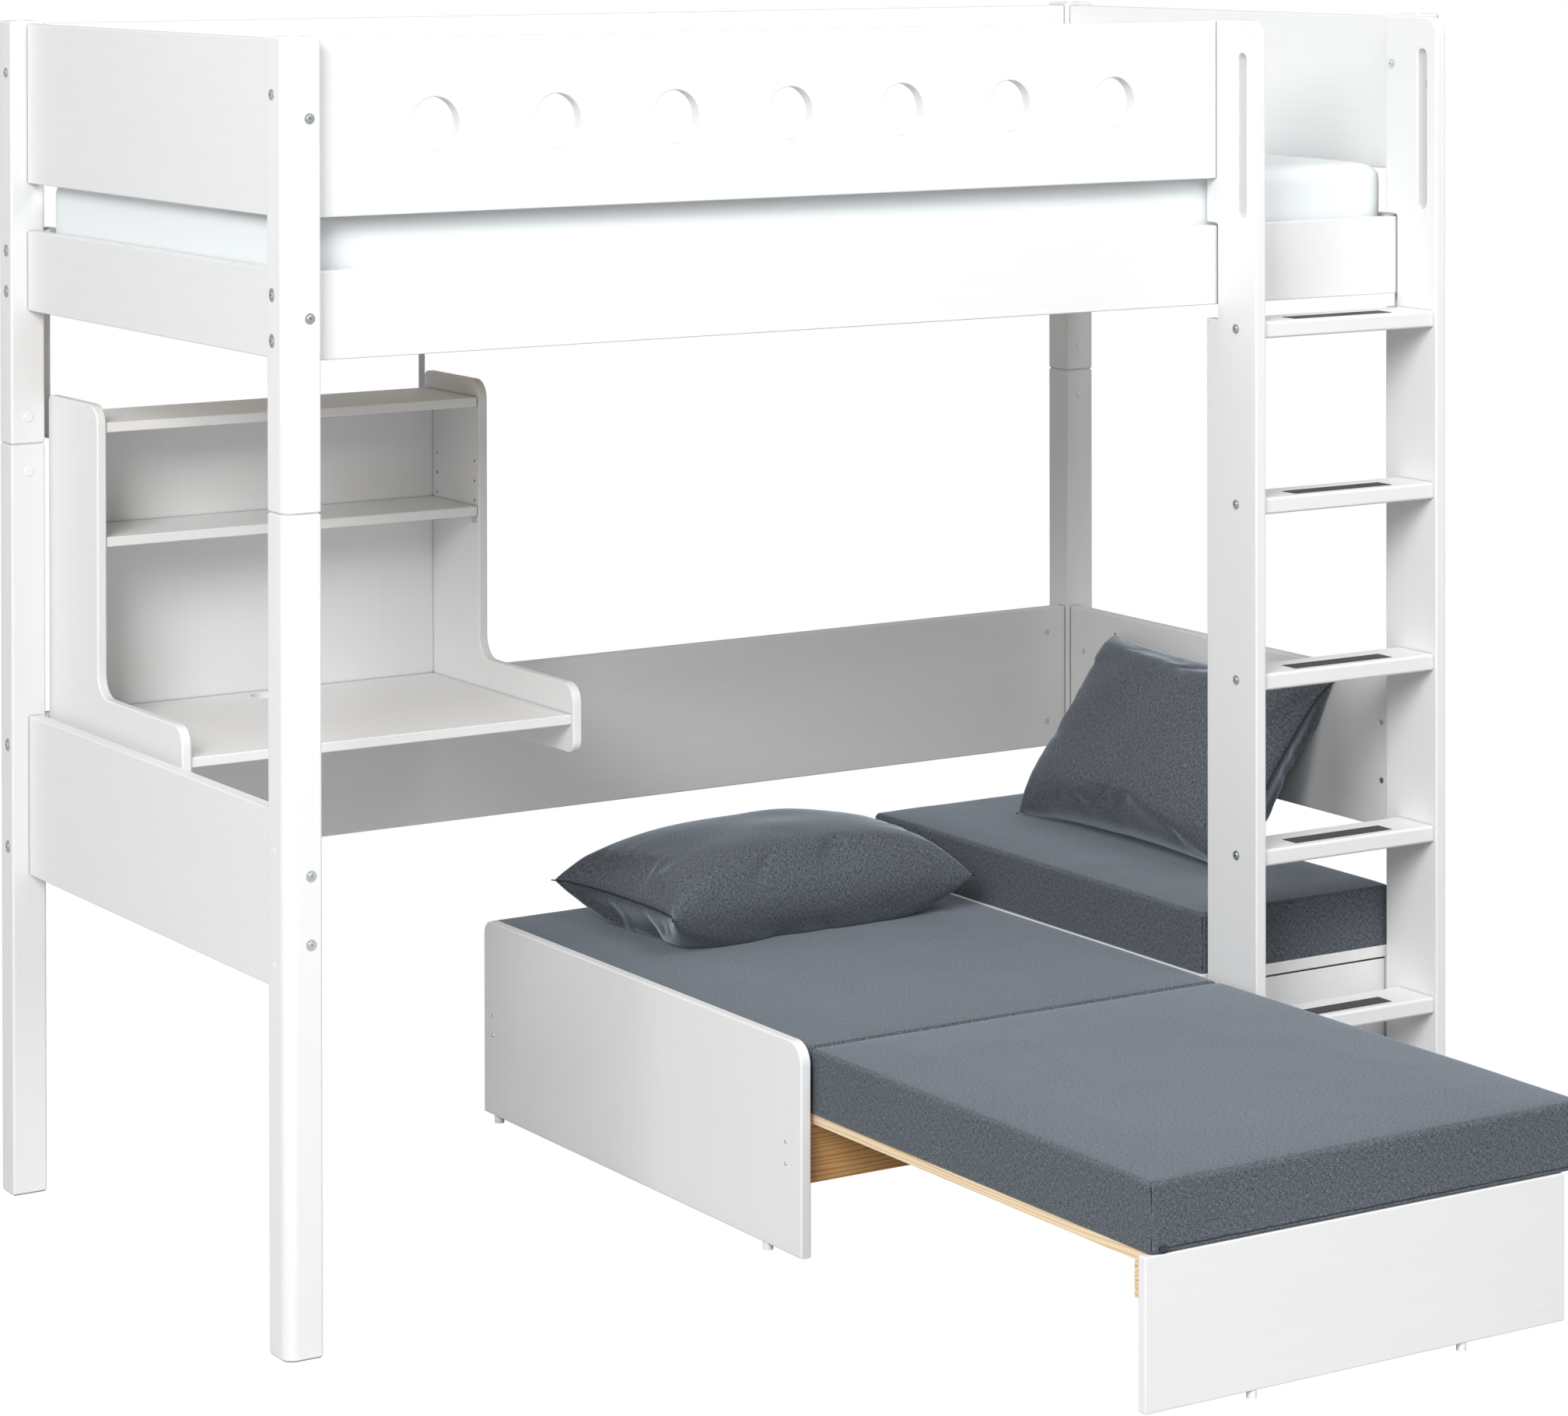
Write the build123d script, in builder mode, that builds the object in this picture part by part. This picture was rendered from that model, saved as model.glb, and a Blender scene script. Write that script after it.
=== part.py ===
"""Loft bed with a ladder, a hung desk and a corner sofa that pulls out into a guest bed.

Millimetres, +Z up. X runs along the bed from the desk end to the ladder end and +Y from the
front to the back. The origin is on the floor under the middle of the whole outline.
"""
from build123d import *
import math
import os

os.makedirs("parts", exist_ok=True)

# Bed frame
bed_length = 2100.0
bed_depth = 1022.0
bed_height = 1845.0
post_side = 57.0
post_split_height = 1180.0
post_outer_radius = 18.0
post_inner_radius = 4.0
post_end_chamfer = 3.0
board_thickness = 22.0
board_setback = 28.0
board_edge_radius = 2.0
guard_bottom = 1590.0
guard_height = 250.0
rail_bottom = 1390.0
rail_height = 125.0
panel_bottom = 502.5
panel_height = 250.0
porthole_radius = 40.0
porthole_edge_radius = 2.0
porthole_pitch = 200.0
porthole_first = 252.5
porthole_count = 7

# Bolts, nuts and caps
shank_radius = 3.0
shank_clearance = 0.4
washer_radius = 7.5
oblong_width = 14.0
oblong_height = 19.0
washer_thickness = 1.2
head_radius = 4.5
head_height = 1.6
socket_radius = 1.5
socket_depth = 1.0
bolt_grip = 48.0
nut_radius = 4.8
nut_clearance = 0.2
nut_setback = 40.0
nut_depth = 16.0
cap_radius = 8.2
cap_height = 1.6
cap_from_split = 43.0
top_cap_radius = 6.5
guard_side_bolt = 49.0
guard_end_bolt = 16.0
rail_bolt_spread = 32.0
panel_side_spread = 80.0
panel_end_spread = 48.0

# Upper slats and mattress
slat_count = 14
slat_width = 70.0
slat_thickness = 18.0
slat_end_gap = 2.0
cleat_height = 30.0
cleat_thickness = 22.0
cleat_rise = 2.0
upper_mattress_height = 157.0
upper_mattress_end_gap = 2.5
upper_mattress_side_gap = 11.0
upper_mattress_radius = 66.0
upper_mattress_crown = 12.0
upper_mattress_roll = 22.0
upper_mattress_bulge = 2.0

# Ladder
stile_thickness = 20.0
stile_reach = 72.0
stile_height = 1842.0
stile_back_gap = 3.0
stile_round = 28.0
stile_edge_radius = 3.0
ladder_clear_width = 349.0
notch_bottom = 1366.0
notch_above_rail = 4.0
notch_front_gap = 2.0
notch_radius = 5.0
grip_slot_width = 21.0
grip_slot_length = 259.0
grip_slot_middle = 1660.5
grip_slot_centre = 35.5
rung_count = 5
rung_top = 1368.0
rung_pitch = 277.4
rung_thickness = 26.4
rung_depth = 88.0
rung_front_gap = 6.5
rung_edge_radius = 4.5
strip_length = 197.0
strip_width = 34.0
strip_thickness = 0.8
strip_centre = 34.0

# Desk
desk_left_gap = 8.0
desk_inner_width = 653.0
desk_side_thickness = 16.0
desk_side_top = 1255.0
desk_side_bottom = 697.0
desk_tall_depth = 188.0
desk_arm_depth = 494.0
desk_arm_top = 806.0
desk_round_large = 30.0
desk_round_inner = 35.0
desk_round_back = 9.0
desk_round_small = 20.0
desk_edge_radius = 3.0
desk_board_thickness = 15.5
desk_top_bottom = 743.0
desk_top_front_gap = 5.0
desk_back_setback = 25.0
desk_back_thickness = 6.0
shelf_top_bottom = 1212.0
shelf_middle_bottom = 1035.0
shelf_top_front_gap = 4.0
shelf_middle_front_gap = 4.0
cable_hole_radius = 25.0
cable_hole_from_back = 42.0
cable_hole_across = 326.5
pin_hole_radius = 2.5
pin_hole_depth = 9.0
pin_hole_pitch = 32.0
pin_hole_first = 1027.0
pin_hole_count = 4
pin_front_inset = 15.0
pin_row_gap = 128.0
support_width = 12.0
support_leg = 12.0
support_thickness = 2.0
hanger_width = 10.0
hanger_thickness = 3.0
hanger_lip = 30.0
hanger_drop = 330.0
hanger_tab_below = 40.0

# Sofa frame
sofa_width = 785.0
sofa_glide_height = 12.0
armrest_thickness = 18.0
armrest_top = 332.0
armrest_front_reach = 12.0
armrest_back_gap = 4.0
armrest_front_round = 32.0
armrest_back_round = 22.0
armrest_edge_radius = 3.0
cross_thickness = 22.0
cross_front_inset = 20.0
cross_back_gap = 20.0
cross_bottom = 113.0
cross_height = 95.0
seat_slat_thickness = 14.0
seat_slat_width = 45.0
seat_slat_count = 7
seat_slat_first_gap = 10.0
armrest_screw_radius = 3.2
armrest_screw_height = 0.8
armrest_screw_pitch = 33.0
armrest_screw_low = 145.0

# Bench at the ladder end
bench_right_gap = 4.0
bench_width = 401.0
bench_board_thickness = 18.0
bench_seat_thickness = 19.0
bench_seat_top = 318.0
bench_front_inset = 60.0
bench_front_setback = 2.0
bench_back_gap = 8.0
bench_shadow_gap = 3.0

# Pull-out
pull_reach = 838.0
pull_front_thickness = 16.0
pull_front_height = 210.0
pull_front_overlap = 3.0
pull_front_width = 745.0
pull_rail_thickness = 22.0
pull_rail_height = 50.0
pull_rail_end_reach = 2.0
pull_batten_thickness = 22.0
pull_batten_height = 24.0
pull_batten_gap = 1.0
running_gap = 0.3
slat_pass_gap = 1.0
glide_radius = 8.0
glide_inset = 33.0
pull_glide_radius = 7.0
pull_glide_inset = 186.0

# Seat cushions
cushion_thickness = 98.0
cushion_crown = 3.0
cushion_side_gap = 8.0
cushion_width = 775.0
cushion_split = 7.0
cushion_back_reach = 35.0
cushion_radius = 14.0
cushion_roll = 12.0
cushion_drawn = 1.5
soft_gap = 0.3
bench_cushion_side_gap = 3.0
bench_cushion_post_gap = 1.0
zip_from_corner = 14.0
zip_length = 14.0
zip_height = 7.0
zip_thickness = 2.6
zip_rise = 3.0

# Pillows
pillow_length = 615.0
pillow_width = 385.0
pillow_up = 88.0
pillow_down = 66.0
pillow_flat = 150.0
pillow_from_armrest = 405.0
pillow_from_front = 762.0
back_pillow_lean = 54.0
back_pillow_from_front = 516.0
back_pillow_wall_gap = 1.0

# Places worked out from the sizes
left = -bed_length / 2
right = bed_length / 2
front = (pull_reach - bed_depth - washer_thickness - head_height) / 2
back = front + bed_depth
inner_left = left + board_setback + board_thickness
inner_right = right - board_setback - board_thickness
inner_front = front + board_setback + board_thickness
inner_back = back - board_setback - board_thickness
bolt_inset = board_setback + board_thickness / 2
guard_middle = guard_bottom + guard_height / 2
rail_middle = rail_bottom + rail_height / 2
rail_top = rail_bottom + rail_height
panel_middle = panel_bottom + panel_height / 2
ladder_right = right - post_side
right_stile_left = ladder_right - stile_thickness
left_stile_right = right_stile_left - ladder_clear_width
left_stile_left = left_stile_right - stile_thickness
stile_front = front - stile_reach
stile_back = front + post_side - stile_back_gap
slat_top = cross_bottom + cross_height + seat_slat_thickness


def save(piece, name):
    """Label a finished piece and write it as its own file."""
    piece.part.label = name
    export_step(piece.part, "parts/" + name + ".step")


def span(low, high):
    """Size and middle of a stretch."""
    return high - low, (low + high) / 2


def board(name, x, y, z, radius=board_edge_radius):
    """A board between the given limits with its edges rounded."""
    (dx, cx), (dy, cy), (dz, cz) = span(*x), span(*y), span(*z)
    with BuildPart() as piece:
        with Locations((cx, cy, cz)):
            Box(dx, dy, dz)
        if radius:
            fillet(piece.edges(), min(radius, dx * 0.45, dy * 0.45, dz * 0.45))
    save(piece, name)


def cut_rods(points, direction, radius, length):
    """Drill from each point along the direction inside the current part."""
    for point in points:
        with Locations(Plane(origin=point, z_dir=direction)):
            Cylinder(radius, length, align=(Align.CENTER, Align.CENTER, Align.MIN), mode=Mode.SUBTRACT)


# Corner posts as signs along X and Y: -1 is the desk end or the front, 1 the ladder end or the back
corners =[(-1, -1), (1, -1), (-1, 1), (1, 1)]


def side_heights(sx, sy):
    """Heights and kinds of the bolts that run along X through one post."""
    places = [(rail_middle + s * rail_bolt_spread, "oblong") for s in (-1, 1)]
    if (sx, sy) != (1, -1):
        places.append((guard_middle + guard_side_bolt, "round"))
    if sy > 0:
        places += [(panel_middle + s * panel_side_spread, "oblong") for s in (-1, 1)]
    return places


def end_heights():
    """Heights of the bolts that run along Y through each post."""
    return [guard_middle + guard_end_bolt, rail_middle,
            panel_middle - panel_end_spread, panel_middle + panel_end_spread]


def side_face(sx, sy, height):
    """Point on a post's outer X face in line with the long boards."""
    y = front + bolt_inset if sy < 0 else back - bolt_inset
    return (sx * bed_length / 2, y, height)


def end_face(sx, sy, height):
    """Point on a post's outer Y face in line with the end boards."""
    y = front if sy < 0 else back
    return (sx * (bed_length / 2 - bolt_inset), y, height)


def stile_bolt_height():
    return guard_middle + guard_side_bolt


def post_section(name, sx, sy, low, high):
    """One length of a corner post with its bolt holes."""
    cx = sx * (bed_length / 2 - post_side / 2)
    cy = front + post_side / 2 if sy < 0 else back - post_side / 2
    outer = Vector(sx * bed_length / 2, front if sy < 0 else back, low)
    with BuildPart() as post:
        with BuildSketch(Plane.XY.offset(low)):
            with Locations((cx, cy)):
                Rectangle(post_side, post_side)
        extrude(amount=high - low)
        uprights = post.edges().filter_by(Axis.Z).sort_by_distance(outer)
        outer_edge = uprights[0]
        fillet(outer_edge, post_outer_radius)
        others = post.edges().filter_by(Axis.Z).filter_by(
            lambda e: abs(e.center().X - outer.X) + abs(e.center().Y - outer.Y) > post_side - 1)
        fillet(others, post_inner_radius)
        ends = post.faces().filter_by(Axis.Z).edges()
        chamfer(ends, post_end_chamfer)
        hole = shank_radius + shank_clearance
        along_x = [side_face(sx, sy, h) for h, kind in side_heights(sx, sy) if low < h < high]
        cut_rods(along_x, (-sx, 0, 0), hole, post_side)
        along_y = [end_face(sx, sy, h) for h in end_heights() if low < h < high]
        cut_rods(along_y, (0, -sy, 0), hole, post_side)
        if (sx, sy) == (1, -1) and low < stile_bolt_height() < high:
            start = (ladder_right, front + bolt_inset, stile_bolt_height())
            cut_rods([start], (1, 0, 0), hole, post_side)
    save(post, name)


for sx, sy in corners:
    place = ("front" if sy < 0 else "back") + "_" + ("left" if sx < 0 else "right")
    post_section("post_" + place + "_lower", sx, sy, 0, post_split_height)
    post_section("post_" + place + "_upper", sx, sy, post_split_height, bed_height)


def long_board(name, sy, low, height, bolt_places, nuts=False, right_end=None, portholes=False):
    """A board along the bed, with bolt holes in its ends and nut holes on its inner face."""
    x0 = left + post_side
    x1 = right_end if right_end is not None else right - post_side
    y_outer = front + board_setback if sy < 0 else back - board_setback
    y_inner = y_outer - sy * board_thickness
    (dx, cx), (dy, cy) = span(x0, x1), span(min(y_outer, y_inner), max(y_outer, y_inner))
    with BuildPart() as piece:
        with Locations((cx, cy, low + height / 2)):
            Box(dx, dy, height)
        fillet(piece.edges(), board_edge_radius)
        hole = shank_radius + shank_clearance
        ends = [(x0, 1)] if right_end is not None else [(x0, 1), (x1, -1)]
        for x, way in ends:
            cut_rods([(x, cy, z) for z in bolt_places], (way, 0, 0), hole, bolt_grip + shank_clearance)
            if nuts:
                seats = [(x + way * nut_setback, y_inner, z) for z in bolt_places]
                cut_rods(seats, (0, sy, 0), nut_radius + nut_clearance, nut_depth + nut_clearance)
        if portholes:
            for number in range(porthole_count):
                x = left + porthole_first + number * porthole_pitch
                with Locations(Plane(origin=(x, cy, low + height / 2), z_dir=(0, 1, 0))):
                    Cylinder(porthole_radius, board_thickness * 2, mode=Mode.SUBTRACT)
            rims = piece.edges().filter_by(GeomType.CIRCLE).filter_by(
                lambda e: abs(e.radius - porthole_radius) < 0.01)
            fillet(rims, porthole_edge_radius)
    save(piece, name)


def end_board(name, sx, low, height, bolt_places, nuts=False):
    """A board across one end of the bed."""
    y0 = front + post_side
    y1 = back - post_side
    x_outer = sx * (bed_length / 2 - board_setback)
    x_inner = x_outer - sx * board_thickness
    (dx, cx), (dy, cy) = span(min(x_outer, x_inner), max(x_outer, x_inner)), span(y0, y1)
    with BuildPart() as piece:
        with Locations((cx, cy, low + height / 2)):
            Box(dx, dy, height)
        fillet(piece.edges(), board_edge_radius)
        hole = shank_radius + shank_clearance
        for y, way in ((y0, 1), (y1, -1)):
            cut_rods([(cx, y, z) for z in bolt_places], (0, way, 0), hole, bolt_grip + shank_clearance)
            if nuts:
                seats = [(x_inner, y + way * nut_setback, z) for z in bolt_places]
                cut_rods(seats, (sx, 0, 0), nut_radius + nut_clearance, nut_depth + nut_clearance)
    save(piece, name)


guard_side = [guard_middle + guard_side_bolt]
rail_side = [rail_middle - rail_bolt_spread, rail_middle + rail_bolt_spread]
panel_side = [panel_middle - panel_side_spread, panel_middle + panel_side_spread]
panel_end = [panel_middle - panel_end_spread, panel_middle + panel_end_spread]

long_board("guard_front", -1, guard_bottom, guard_height, guard_side,
           right_end=left_stile_left, portholes=True)
long_board("guard_back", 1, guard_bottom, guard_height, guard_side)
long_board("rail_front", -1, rail_bottom, rail_height, rail_side)
long_board("rail_back", 1, rail_bottom, rail_height, rail_side)
long_board("panel_back", 1, panel_bottom, panel_height, panel_side, nuts=True)
for sx, end in ((-1, "left"), (1, "right")):
    end_board("guard_" + end, sx, guard_bottom, guard_height, [guard_middle + guard_end_bolt])
    end_board("rail_" + end, sx, rail_bottom, rail_height, [rail_middle])
    end_board("panel_" + end, sx, panel_bottom, panel_height, panel_end, nuts=True)


def bolt(point, direction, length, oblong=False):
    """A washer, a low head with its socket, and a shank, added to the current part.

    The point is on the face under the washer and the direction runs into the wood.
    """
    into = Vector(*direction)
    away = Plane(origin=point, x_dir=(0, 0, 1), z_dir=into * -1)
    head_seat = away.offset(washer_thickness)
    socket_seat = away.offset(washer_thickness + head_height - socket_depth)
    with BuildSketch(away) as washer:
        if oblong:
            SlotOverall(oblong_height, oblong_width)
        else:
            Circle(washer_radius)
    extrude(washer.sketch, amount=washer_thickness)
    with BuildSketch(head_seat) as head:
        Circle(head_radius)
    extrude(head.sketch, amount=head_height, taper=20)
    with BuildSketch(away) as shank:
        Circle(shank_radius)
    extrude(shank.sketch, amount=-length)
    with BuildSketch(socket_seat) as socket:
        RegularPolygon(socket_radius, 6)
    extrude(socket.sketch, amount=socket_depth, mode=Mode.SUBTRACT)


frame_shank = post_side + bolt_grip
rung_front = stile_front + rung_front_gap
rung_centre_y = rung_front + rung_depth / 2
rung_tops = [rung_top - number * rung_pitch for number in range(rung_count)]
with BuildPart() as bolts_oblong:
    for sx, sy in corners:
        for height, kind in side_heights(sx, sy):
            if kind == "oblong":
                bolt(side_face(sx, sy, height), (-sx, 0, 0), frame_shank, oblong=True)
save(bolts_oblong, "bolts_oblong")

with BuildPart() as barrel_nuts:
    seats = []
    for sx in (-1, 1):
        x_end = sx * (bed_length / 2 - post_side - nut_setback)
        seats += [((x_end, inner_back, z), (0, 1, 0), (1, 0, 0)) for z in panel_side]
        x_face = sx * (bed_length / 2 - board_setback - board_thickness)
        for y_end in (front + post_side + nut_setback, back - post_side - nut_setback):
            seats += [((x_face, y_end, z), (sx, 0, 0), (0, 1, 0)) for z in panel_end]
    for point, direction, cross in seats:
        with BuildSketch(Plane(origin=point, z_dir=direction)):
            Circle(nut_radius)
        extrude(amount=nut_depth)
        middle = Vector(*point) + Vector(*direction) * (board_thickness / 2)
        with BuildSketch(Plane(origin=middle, z_dir=cross)):
            Circle(shank_radius + shank_clearance)
        extrude(amount=nut_radius * 2, both=True, mode=Mode.SUBTRACT)
save(barrel_nuts, "barrel_nuts")

with BuildPart() as post_caps:
    for sx, sy in corners:
        x = sx * (bed_length / 2 - post_side / 2)
        y = front + post_side / 2 if sy < 0 else back - post_side / 2
        with BuildSketch(Plane.XY.offset(bed_height)):
            with Locations((x, y)):
                Circle(top_cap_radius)
        extrude(amount=cap_height, taper=35)
        y_inner = y - sy * post_side / 2
        for shift in (-cap_from_split, cap_from_split):
            with BuildSketch(Plane(origin=(x, y_inner, post_split_height + shift), z_dir=(0, -sy, 0))):
                Circle(cap_radius)
            extrude(amount=cap_height, taper=35)
    for height in panel_side:
        for sx in (-1, 1):
            with BuildSketch(Plane(origin=side_face(sx, -1, height), z_dir=(sx, 0, 0))):
                Circle(head_radius)
            extrude(amount=cap_height / 2)
save(post_caps, "post_caps")

# Slats under the upper mattress
cleat_low = rail_bottom + cleat_rise
upper_slat_low = cleat_low + cleat_height
upper_slat_top = upper_slat_low + slat_thickness
with BuildPart() as slat_cleats:
    for y in (inner_front + cleat_thickness / 2, inner_back - cleat_thickness / 2):
        with Locations((0, y, cleat_low + cleat_height / 2)):
            Box(bed_length - 2 * post_side, cleat_thickness, cleat_height)
save(slat_cleats, "slat_cleats")

slat_run = bed_length - 2 * post_side - slat_width
with BuildPart() as bed_slats:
    for number in range(slat_count):
        x = -slat_run / 2 + number * slat_run / (slat_count - 1)
        dy, cy = span(inner_front + slat_end_gap, inner_back - slat_end_gap)
        with Locations((x, cy, upper_slat_low + slat_thickness / 2)):
            Box(slat_width, dy, slat_thickness)
save(bed_slats, "bed_slats")


def cushion(name, x, y, low, thickness, radius, crown, roll, drawn):
    """A foam block in a sewn cover: rolled edges, drawn-in sides and a low crown."""
    (dx, cx), (dy, cy) = span(*x), span(*y)
    short = min(dx, dy)
    top = low + thickness
    bottom_roll = roll * 0.6
    shape = [
        (low, bottom_roll * 0.7),
        (low + bottom_roll * 0.35, bottom_roll * 0.15),
        (low + bottom_roll, 0.0),
        (low + thickness * 0.5, drawn),
        (top - roll, 0.0),
        (top - roll * 0.45, roll * 0.16),
        (top - roll * 0.12, roll * 0.5),
        (top, roll),
        (top + crown * 0.7, short * 0.18),
        (top + crown, short * 0.32),
    ]
    with BuildPart() as piece:
        for height, inset in shape:
            with BuildSketch(Plane.XY.offset(height)):
                with Locations((cx, cy)):
                    corner = min(radius, short * 0.45 - inset)
                    RectangleRounded(dx - 2 * inset, dy - 2 * inset, corner)
        loft(ruled=True)
    save(piece, name)


cushion("mattress_upper", (inner_left + upper_mattress_end_gap, inner_right - upper_mattress_end_gap),
        (inner_front + upper_mattress_side_gap, inner_back - upper_mattress_side_gap),
        upper_slat_top, upper_mattress_height, upper_mattress_radius, upper_mattress_crown,
        upper_mattress_roll, -upper_mattress_bulge)

# Ladder
slot_y = stile_front + grip_slot_centre


def stile(name, x_low):
    """A ladder side with a grip slot, hooked round the front rail by a notch in its back edge."""
    notch_top = rail_top + notch_above_rail
    notch_front = front + board_setback - notch_front_gap
    with BuildPart() as side:
        with BuildSketch(Plane(origin=(x_low, 0, 0), x_dir=(0, 1, 0), z_dir=(1, 0, 0))):
            with BuildLine():
                Polyline((stile_front, 0), (stile_back, 0), (stile_back, notch_bottom),
                         (notch_front, notch_bottom), (notch_front, notch_top), (stile_back, notch_top),
                         (stile_back, stile_height), (stile_front, stile_height), close=True)
            make_face()
        extrude(amount=stile_thickness)
        crosswise = side.edges().filter_by(Axis.X)
        top_front = crosswise.sort_by_distance((x_low + stile_thickness / 2, stile_front, stile_height))[0]
        fillet(top_front, stile_round)
        for y, z in ((notch_front, notch_bottom), (notch_front, notch_top)):
            corner = side.edges().filter_by(Axis.X).sort_by_distance((x_low + stile_thickness / 2, y, z))[0]
            fillet(corner, notch_radius)
        with BuildSketch(Plane(origin=(x_low, 0, 0), x_dir=(0, 1, 0), z_dir=(1, 0, 0))):
            with Locations((slot_y, grip_slot_middle)):
                SlotOverall(grip_slot_length, grip_slot_width, rotation=90)
        extrude(amount=stile_thickness, mode=Mode.SUBTRACT)
        rims = side.faces().filter_by(Axis.X).edges()
        fillet(rims, stile_edge_radius)
        hole = shank_radius + shank_clearance
        holes = [(x_low, rung_centre_y, top - rung_thickness / 2) for top in rung_tops]
        cut_rods(holes, (1, 0, 0), hole, stile_thickness)
        if x_low == right_stile_left:
            cut_rods([(x_low, front + bolt_inset, stile_bolt_height())], (1, 0, 0), hole, stile_thickness)
    save(side, name)


stile("ladder_stile_left", left_stile_left)
stile("ladder_stile_right", right_stile_left)

for number, top in enumerate(rung_tops, start=1):
    with BuildPart() as rung:
        dx, cx = span(left_stile_right, right_stile_left)
        with Locations((cx, rung_centre_y, top - rung_thickness / 2)):
            Box(dx, rung_depth, rung_thickness)
        fillet(rung.edges().filter_by(Axis.X), rung_edge_radius)
        hole = shank_radius + shank_clearance
        for x, way in ((left_stile_right, 1), (right_stile_left, -1)):
            cut_rods([(x, rung_centre_y, top - rung_thickness / 2)], (way, 0, 0), hole,
                     bolt_grip + shank_clearance)
    save(rung, "rung_" + str(number))

with BuildPart() as grip_strips:
    for top in rung_tops:
        strip_x = (left_stile_right + right_stile_left) / 2
        with Locations((strip_x, stile_front + stile_reach - strip_centre, top + strip_thickness / 2)):
            Box(strip_length, strip_width, strip_thickness)
save(grip_strips, "grip_strips")

# Desk hung from the back rail
desk_back_edge = inner_back
desk_left = left + post_side + desk_left_gap
desk_inner_left = desk_left + desk_side_thickness
desk_inner_right = desk_inner_left + desk_inner_width
desk_tall_front = desk_back_edge - desk_tall_depth
desk_arm_front = desk_back_edge - desk_arm_depth
desk_back_face = desk_back_edge - desk_back_setback - desk_back_thickness


def desk_side(name, x_low, inner_way):
    """One side of the desk: a tall back part that sweeps down into a low arm."""
    with BuildPart() as side:
        with BuildSketch(Plane(origin=(x_low, 0, 0), x_dir=(0, 1, 0), z_dir=(1, 0, 0))) as outline:
            with BuildLine():
                Polyline((desk_back_edge, desk_side_bottom), (desk_back_edge, desk_side_top),
                         (desk_tall_front, desk_side_top), (desk_tall_front, desk_arm_top),
                         (desk_arm_front, desk_arm_top), (desk_arm_front, desk_side_bottom), close=True)
            make_face()
            rounds = [(desk_back_edge, desk_side_top, desk_round_back),
                      (desk_tall_front, desk_side_top, desk_round_large),
                      (desk_tall_front, desk_arm_top, desk_round_inner),
                      (desk_arm_front, desk_arm_top, desk_round_large),
                      (desk_arm_front, desk_side_bottom, desk_round_small)]
            for y, z, radius in rounds:
                corner = outline.vertices().sort_by_distance((y, z, 0))[0]
                fillet(corner, radius)
        extrude(amount=desk_side_thickness)
        fillet(side.faces().filter_by(Axis.X).edges(), desk_edge_radius)
        x_inner = x_low + desk_side_thickness if inner_way > 0 else x_low
        for row in (pin_front_inset, pin_front_inset + pin_row_gap):
            for number in range(pin_hole_count):
                start = (x_inner, desk_tall_front + row, pin_hole_first + number * pin_hole_pitch)
                cut_rods([start], (-inner_way, 0, 0), pin_hole_radius, pin_hole_depth)
    save(side, name)


desk_side("desk_side_left", desk_left, 1)
desk_side("desk_side_right", desk_inner_right, -1)

desk_hole_y = desk_back_face - cable_hole_from_back
desk_hole_x = desk_inner_left + cable_hole_across
with BuildPart() as desk_top:
    (dx, cx) = span(desk_inner_left, desk_inner_right)
    (dy, cy) = span(desk_arm_front + desk_top_front_gap, desk_back_face)
    with Locations((cx, cy, desk_top_bottom + desk_board_thickness / 2)):
        Box(dx, dy, desk_board_thickness)
    fillet(desk_top.edges().filter_by(Axis.X), board_edge_radius)
    with Locations((desk_hole_x, desk_hole_y, desk_top_bottom)):
        Cylinder(cable_hole_radius, desk_board_thickness * 3, mode=Mode.SUBTRACT)
save(desk_top, "desk_top")

board("desk_back", (desk_inner_left, desk_inner_right),
      (desk_back_face, desk_back_face + desk_back_thickness),
      (desk_side_bottom + desk_edge_radius, shelf_top_bottom), 0)
board("desk_shelf_top", (desk_inner_left, desk_inner_right),
      (desk_tall_front + shelf_top_front_gap, desk_back_edge - desk_edge_radius * 2),
      (shelf_top_bottom, shelf_top_bottom + desk_board_thickness), board_edge_radius)
board("desk_shelf_middle", (desk_inner_left, desk_inner_right),
      (desk_tall_front + shelf_middle_front_gap, desk_back_face),
      (shelf_middle_bottom, shelf_middle_bottom + desk_board_thickness), board_edge_radius)

with BuildPart() as shelf_supports:
    for x, way in ((desk_inner_left, 1), (desk_inner_right, -1)):
        for row in (pin_front_inset, pin_front_inset + pin_row_gap):
            y = desk_tall_front + row
            with Locations((x + way * support_leg / 2, y, shelf_middle_bottom - support_thickness / 2)):
                Box(support_leg, support_width, support_thickness)
            with Locations((x + way * support_thickness / 2, y, shelf_middle_bottom - support_leg / 2)):
                Box(support_thickness, support_width, support_leg)
save(shelf_supports, "desk_shelf_supports")

with BuildPart() as desk_hangers:
    hook_front = inner_back - hanger_thickness
    strap_front = back - board_setback
    strap_back = strap_front + hanger_thickness
    hook_top = rail_top + hanger_thickness
    strap_low = rail_top - hanger_drop
    tab_top = desk_side_top - hanger_tab_below
    for x in (desk_left + desk_side_thickness / 2, desk_inner_right + desk_side_thickness / 2):
        with BuildSketch(Plane(origin=(x - hanger_width / 2, 0, 0), x_dir=(0, 1, 0), z_dir=(1, 0, 0))):
            with BuildLine():
                Polyline((hook_front, rail_top - hanger_lip), (inner_back, rail_top - hanger_lip),
                         (inner_back, rail_top), (strap_front, rail_top),
                         (strap_front, strap_low + hanger_thickness),
                         (desk_back_edge, strap_low + hanger_thickness), (desk_back_edge, strap_low),
                         (strap_back, strap_low), (strap_back, hook_top), (hook_front, hook_top), close=True)
            make_face()
        extrude(amount=hanger_width)
save(desk_hangers, "desk_hangers")

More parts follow.
